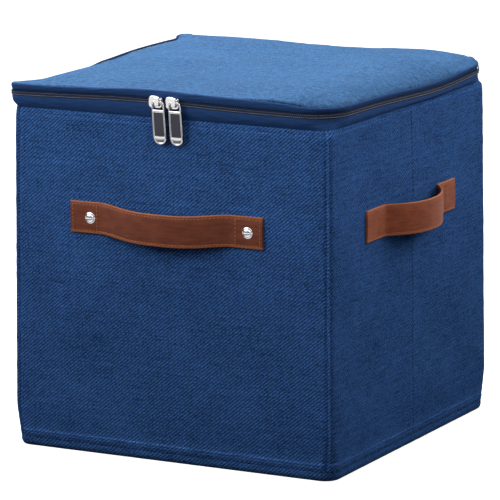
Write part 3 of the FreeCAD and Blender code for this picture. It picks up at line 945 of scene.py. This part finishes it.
def insert_cover():
    """The cloth cover of the loose base board, sewn shut along its edge."""
    half, margin = INSERT[1][0], 0.9 * MM
    low, high = INSERT[0][2], INSERT[1][2]
    x, y, edge = rounded_plan(half + margin, 3 * MM + margin, 90)
    soft = 0.12 * MM * rise(edge, 0, 20) * ripples(x, y, 81, 50 * MM)
    groove = 0.35 * MM * dent(edge, 5, 0.8)
    tuck = (high - low) / 2 * np.clip(1 - edge / (0.8 * MM), 0, 1) ** 2
    above = 0.6 * MM + soft - groove - tuck
    under = (low - above).clip(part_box("insert_bottom_cover")[0][2])
    faces = [grid(np.stack([x, y, high + above], -1)), grid(np.stack([x, y, under], -1), flip=True)]
    obj = make(
        "insert_cover", joined(faces), lining_cloth, "base_insert",
        ["insert_top_cover", "insert_bottom_cover"], cloth=np.concatenate([flat_map(x, y)] * 2),
    )


insert_cover()

# ---------------------------------------------------------------- handles


def strap_line(tab, angle, root, leg, bow, count=170):
    """The strap's middle line: distances along and out from the wall, and its heading."""
    angle = math.radians(angle)
    lengths = [tab, root * angle, leg, 2 * bow * angle, leg, root * angle, tab]
    turns = [0, angle, 0, -2 * angle, 0, angle, 0]
    along = np.concatenate([[0], np.cumsum(lengths)])
    heading_at = np.concatenate([[0], np.cumsum(turns)])
    s = np.linspace(0, along[-1], count)
    heading = np.interp(s, along, heading_at)
    soft = np.hanning(9) / np.hanning(9).sum()
    heading = np.convolve(np.pad(heading, 4, mode="edge"), soft, mode="valid")
    step, mean = s[1] - s[0], (heading[1:] + heading[:-1]) / 2
    x, y = (np.concatenate([[0], np.cumsum(way(mean)) * step]) for way in (np.cos, np.sin))
    return s, x - x[-1] / 2, y, heading


def strap_section():
    """Across the strap: (place across, height of the outer or inner face), a closed loop."""
    half, thick, edge = STRAP_WIDTH / 2, STRAP_THICKNESS / 2, 0.9 * MM
    flat = np.linspace(-half + edge, half - edge, 31)
    inset = half - np.abs(flat)
    relief = 0.3 * MM * rise(inset, 3.2, 5) - 0.35 * MM * dent(inset, STITCH_INSET / MM, 0.6)
    corner = np.linspace(0, math.pi, 9)[1:-1]
    right = np.column_stack([half - edge + edge * np.sin(corner), thick * np.cos(corner)])
    outer = np.column_stack([flat, thick + relief])
    inner = np.column_stack([flat[::-1], np.full(31, -thick)])
    return np.concatenate([outer, right, inner, -right])


def strap(name, shape, middle, turn, sag, leather_kind, replaced, rows):
    """A leather strap on one wall, with its stitches. turn is the wall's angle about Z."""
    s, x, out, heading = strap_line(**shape)
    last = len(s) - 1
    free = smooth((out - 0.5 * MM) / out.max())
    section = strap_section()
    turned = np.array(Matrix.Rotation(math.radians(turn), 3, "Z"))
    out = out + WALL + STRAP_THICKNESS / 2 + 0.7 * MM

    def place(index, across, lift):
        """Points on the strap at those rows, places across and heights above its middle."""
        h = heading[index]
        px = x[index] - lift * np.sin(h) + middle
        py = -(out[index] + lift * np.cos(h))
        pz = HANDLE_Z + across - sag * free[index]
        return np.stack(np.broadcast_arrays(px, py, pz), -1) @ turned.T

    def end(index, way):
        """The strap's end, rounded over."""
        small = place(index, section[:, 0] * 0.975, section[:, 1] * 0.55)
        return small + np.array([way * 0.45 * MM, 0, 0]) @ turned.T

    loops = [end(0, -1)] + [place(i, section[:, 0], section[:, 1]) for i in range(len(s))] + [end(last, 1)]
    cloth = [[(s[max(0, min(i - 1, last))], a, h) for a, h in section] for i in range(len(loops))]
    make(
        name, loft(loops), leather_kind, "bin", replaced,
        cloth=np.array(cloth).reshape(-1, 3), sharp=50,
    )

    # Stitches: along both edges, and across at each row
    length, gap = 2.5 * MM, 0.9 * MM
    origins, ways, ups = [], [], []
    inset = STRAP_WIDTH / 2 - STITCH_INSET

    def add(distance, across, along_strap):
        index = min(max(int(round(distance / s[-1] * last)), 0), last)
        h = heading[index]
        tangent = np.array([math.cos(h), -math.sin(h), 0]) @ turned.T
        relief = 0.05 * MM if along_strap else 0.4 * MM
        origins.append(place(np.array([index]), across, STRAP_THICKNESS / 2 + relief)[0])
        ways.append(tangent if along_strap else np.array([0, 0, 1.0]))
        ups.append(np.array([-math.sin(h), -math.cos(h), 0]) @ turned.T)

    for side in (-1, 1):
        for distance in np.arange(2.6 * MM, s[-1] - 2 * MM, length + gap):
            add(distance, side * inset, True)
    for row in rows:
        for across in np.arange(-inset + 1.2 * MM, inset, length + gap):
            for distance in (row, s[-1] - row):
                add(distance, across, False)
    ways, ups = np.array(ways), np.array(ups)
    axes = np.stack([ways, np.cross(ups, ways), ups], 1)
    thread = copies(stitch(length, 0.34 * MM), np.array(origins), axes)
    make(name.replace("strap", "stitches"), thread, thread_tan, "bin")


FRONT_SHAPE = {"tab": 29 * MM, "angle": 18.5, "root": 15 * MM, "leg": 18 * MM, "bow": 142 * MM}
SIDE_SHAPE = {"tab": 34 * MM, "angle": 40, "root": 4 * MM, "leg": 4 * MM, "bow": 79 * MM}
front_middle = (STRAP_FRONT[0][0] + STRAP_FRONT[1][0]) / 2
side_middle = (STRAP_RIGHT[0][1] + STRAP_RIGHT[1][1]) / 2
FRONT_ROWS, SIDE_ROWS = [2.6 * MM, 27 * MM], [21 * MM, 31.5 * MM]
for name, shape, middle, turn, sag, kind, rows in (
    ("front", FRONT_SHAPE, front_middle, 0, 3 * MM, strap_leather, FRONT_ROWS),
    ("right", SIDE_SHAPE, side_middle, 90, 1 * MM, side_leather, SIDE_ROWS),
    ("left", SIDE_SHAPE, -side_middle, 270, 1 * MM, side_leather, SIDE_ROWS),
):
    strap(f"{name}_strap", shape, middle, turn, sag, kind, [f"{name}_handle_strap"], rows)

# ---------------------------------------------------------------- metal parts

PULL_LEAN = math.radians(6.5)  # tip to the wall
PULL_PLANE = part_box("left_pull_tab")[0][1] + 0.8 * MM  # its middle plane at its top
PULL_FACE = 0.8 * MM
PULL_RIM = 1.5 * MM
PULL_TAPER = 0.3 * MM
PULL_TOP_CORNER = 4.2 * MM
PULL_BAR_DOWN = 9.8 * MM


def turned_profile(profile, centre, count=40):
    """A round piece about an axis that points out of the front: profile is (radius, height out)."""
    cos, sin = np.cos(circle(count)), np.sin(circle(count))
    x, y, z = centre
    return loft([np.column_stack([x + r * cos, y - h + 0 * cos, z + r * sin]) for r, h in profile])


def rivets():
    """Domed rivet caps with a low rim."""
    radius = (RIVETS[1][2] - RIVETS[0][2]) / 2
    face = -WALL - STRAP_THICKNESS - 0.8 * MM
    quarter_turn = np.linspace(0, math.pi / 2, 9)
    dome = [(radius * 0.8 * math.cos(a), 0.7 * MM + 1.7 * MM * math.sin(a)) for a in quarter_turn]
    profile = [(radius * 0.9, -0.4 * MM), (radius, 0), (radius, 0.35 * MM), (radius * 0.93, 0.6 * MM)]
    profile += dome[:-1] + [(0.05 * MM, dome[-1][1])]
    places = [RIVETS[0][0] + radius, RIVETS[1][0] - radius]
    parts = [turned_profile(profile, (x, face, HANDLE_Z)) for x in places]
    make("rivets", joined(parts), chrome, "bin", ["front_rivet_caps"])


def end_stops():
    """A staple over the two tapes at each end of the zip."""
    low, high = LOWER_TEETH[0] - 0.4 * MM, UPPER_TEETH[1] + 0.4 * MM
    angle = circle(10)
    parts = []
    for side in (-1, 1):
        loops = []
        for a in np.linspace(0, math.pi, 12):
            out = -0.4 * MM + 1.9 * MM * math.sin(a) ** 0.6 + 0.45 * MM * np.cos(angle)
            u = side * (TEETH_REACH + 1.1 * MM + 1.0 * MM * np.sin(angle))
            z = (low + high) / 2 - (high - low) / 2 * math.cos(a)
            loops.append(raised(u, z, TAPE_FACE, ZIP_RADIUS, out))
        parts.append(loft(loops))
    make("end_stops", joined(parts), chrome_painted_dark_reflection, "bin", ["zip_end_stops"])


def pull_rim(name, body, node):
    """The polished raised edge of a pull, its cross bar and its domed tip, over the CAD plate."""
    low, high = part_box(node)
    middle, end_half = (low[0] + high[0]) / 2, (high[0] - low[0]) / 2
    top_half, length = end_half - PULL_TAPER, high[2] - low[2]
    corner = PULL_TOP_CORNER
    shoulder, straight = top_half - corner, length - corner - end_half
    turn, curl = np.linspace(0, math.pi, 15), np.linspace(0, math.pi / 2, 6)
    tip = [(end_half * math.cos(a), end_half - end_half * math.sin(a)) for a in turn]
    sides = [(-end_half + PULL_TAPER * t, end_half + straight * t) for t in (0.25, 0.5, 0.75)]
    left = [(-shoulder - corner * math.cos(a), length - corner + corner * math.sin(a)) for a in curl]
    ring = np.array(tip + sides + left + [(-x, z) for x, z in (sides + left)[::-1]])
    way = np.roll(ring, -1, 0) - np.roll(ring, 1, 0)
    way /= np.linalg.norm(way, axis=1)[:, None]
    inward = np.column_stack([way[:, 1], -way[:, 0]])
    if np.sum(inward * (ring - ring.mean(0))) > 0:
        inward = -inward
    angle = circle(12)

    def placed(across, out, up):
        """From places on the pull to the world: across, out of its face, up from its tip."""
        down = length - up
        y = PULL_PLANE - out * math.cos(PULL_LEAN) + down * math.sin(PULL_LEAN)
        z = high[2] - down * math.cos(PULL_LEAN) - out * math.sin(PULL_LEAN)
        return np.stack(np.broadcast_arrays(middle + across, y, z), -1)

    inset = PULL_RIM / 2 + PULL_RIM / 2 * np.cos(angle)
    lift = PULL_FACE + 0.42 * MM * np.sin(angle)
    edge = [placed(x + nx * inset, lift, z + nz * inset) for (x, z), (nx, nz) in zip(ring, inward)]
    dome = []
    for t in np.linspace(0, 1, 9):  # the tip, level with its rim
        z = 1.2 * MM + t * 6.2 * MM
        half = math.sqrt(end_half**2 - (end_half - min(z, end_half)) ** 2) - 0.9 * MM
        flat = np.linspace(-half, half, 9)
        swell = 0.25 + 0.75 * math.sin(math.pi * t) ** 0.5
        lift = PULL_FACE + 0.32 * MM * (1 - (flat / half) ** 2 * 0.5) * swell
        under = np.full(9, PULL_FACE - 0.3 * MM)
        dome.append(placed(np.concatenate([flat, flat[::-1]]), np.concatenate([lift, under]), z))
    out, up = PULL_FACE + 0.5 * MM * np.sin(angle), length - PULL_BAR_DOWN + 1.25 * MM * np.cos(angle)
    bar = [placed(x, out, up) for x in np.linspace(-top_half + 0.3 * MM, top_half - 0.3 * MM, 7)]
    parts = [loft(edge, round_trip=True), loft(dome), loft(bar)]
    make(name, joined(parts), chrome, body)


rivets()
end_stops()
for side in ("left", "right"):
    pull_rim(f"{side}_pull_rim", f"{side}_pull", f"{side}_pull_tab")

# ---------------------------------------------------------------- stage, light and camera

FLOOR_HALF = 9.0


def stage():
    """A plain pale floor."""
    mesh = bpy.data.meshes.new("floor")
    corners = [(x * FLOOR_HALF, y * FLOOR_HALF, 0) for x, y in ((-1, -1), (1, -1), (1, 1), (-1, 1))]
    mesh.from_pydata(corners, [], [(0, 1, 2, 3)])
    floor = added("floor", mesh)
    paint = bpy.data.materials.new("floor_paint")
    paint.use_nodes = True
    shader = paint.node_tree.nodes["Principled BSDF"]
    shader.inputs["Base Color"].default_value = (0.9, 0.9, 0.9, 1)
    shader.inputs["Roughness"].default_value = 0.9
    shader.inputs["Specular IOR Level"].default_value = 0.0
    shader.inputs["Emission Color"].default_value = (1, 1, 1, 1)
    shader.inputs["Emission Strength"].default_value = 0.8
    mesh.materials.append(paint)
    floor.visible_diffuse = False  # so that the walls darken towards their foot
    floor.visible_glossy = False  # the plated parts mirror the studio below instead


def softbox(name, place, target, size, power, spread=180):
    light = bpy.data.lights.new(name, "AREA")
    light.size, light.energy, light.spread = size, power, math.radians(spread)
    obj = added(name, light)
    obj.location = place
    obj.rotation_euler = (Vector(target) - Vector(place)).to_track_quat("-Z", "Y").to_euler()


def camera():
    """The camera stands to the right of the front, a little above the lid, with a long lens."""
    yaw, pitch, roll = math.radians(27.79), math.radians(11.40), math.radians(-0.34)
    distance, aim = 3.655, Vector((-0.0042, 0.0, 0.1636))
    level = math.cos(pitch)
    forward = Vector((-math.sin(yaw) * level, math.cos(yaw) * level, -math.sin(pitch)))
    data = bpy.data.cameras.new("camera")
    data.lens, data.sensor_width = 287.6, 36.0
    data.clip_start, data.clip_end = 0.05, 60
    obj = added("camera", data)
    turn = forward.to_track_quat("-Z", "Y").to_matrix() @ Matrix.Rotation(roll, 3, "Z")
    obj.matrix_world = Matrix.Translation(aim - distance * forward) @ turn.to_4x4()
    bpy.context.scene.camera = obj


def sky():
    """A studio that looks white, lights softly from above, and is pale below in reflections."""
    world = bpy.data.worlds.new("studio")
    world.use_nodes = True
    tree = world.node_tree
    place = tree.nodes.new("ShaderNodeTexCoord").outputs["Generated"]
    parts = tree.nodes.new("ShaderNodeSeparateXYZ")
    tree.links.new(place, parts.inputs[0])

    def profile(stops):
        """Brightness against height, from straight down at 0 to straight up at 1."""
        ramp = tree.nodes.new("ShaderNodeValToRGB")
        elements = ramp.color_ramp.elements
        while len(elements) < len(stops):
            elements.new(0.5)
        for element, (height, level) in zip(elements, stops):
            element.position = height
            element.color = (level, level, level, 1)
        spread = tree.nodes.new("ShaderNodeMapRange")
        spread.inputs["From Min"].default_value = -1.0
        tree.links.new(parts.outputs[2], spread.inputs["Value"])
        tree.links.new(spread.outputs[0], ramp.inputs[0])
        return ramp.outputs[0]

    diffuse = profile([(0.5, 0.01), (0.56, 0.03), (0.85, 0.2)])
    below = [(0.22, 0.9), (0.26, 0.06), (0.32, 0.06), (0.35, 1.0), (0.45, 1.0)]
    mirrored = profile(below + [(0.47, 0.15), (0.56, 0.1), (0.7, 1.0)])
    rays = tree.nodes.new("ShaderNodeLightPath")

    def chosen(ray, otherwise, level=None):
        """The level for that kind of ray, white if none is given, and otherwise the other."""
        choice = tree.nodes.new("ShaderNodeMix")
        choice.data_type = "RGBA"
        choice.inputs[7].default_value = (1, 1, 1, 1)
        tree.links.new(rays.outputs[ray], choice.inputs[0])
        tree.links.new(otherwise, choice.inputs[6])
        if level is not None:
            tree.links.new(level, choice.inputs[7])
        return choice.outputs[2]

    light = chosen("Is Camera Ray", chosen("Is Glossy Ray", diffuse, mirrored))
    tree.links.new(light, tree.nodes["Background"].inputs["Color"])
    bpy.context.scene.world = world


stage()
sky()
softbox("overhead", (-0.7, 0.2, 2.1), (0.0, 0.0, 0.2), 1.4, 61)
# Four softboxes off the corners, aimed above the lid; the one off the front right is the dimmest
for name, x, y, power in (
    ("front_left", -0.8, -0.85, 3.3), ("front_right", 0.85, -0.8, 1.25),
    ("back_right", 0.8, 0.85, 3.2), ("back_left", -0.85, 0.8, 2.7),
):
    softbox(f"high_{name}", (x, y, 1.0), (0.0, 0.0, 0.62), 0.9, power, 86)
bpy.context.scene.view_settings.view_transform = "Standard"
camera()
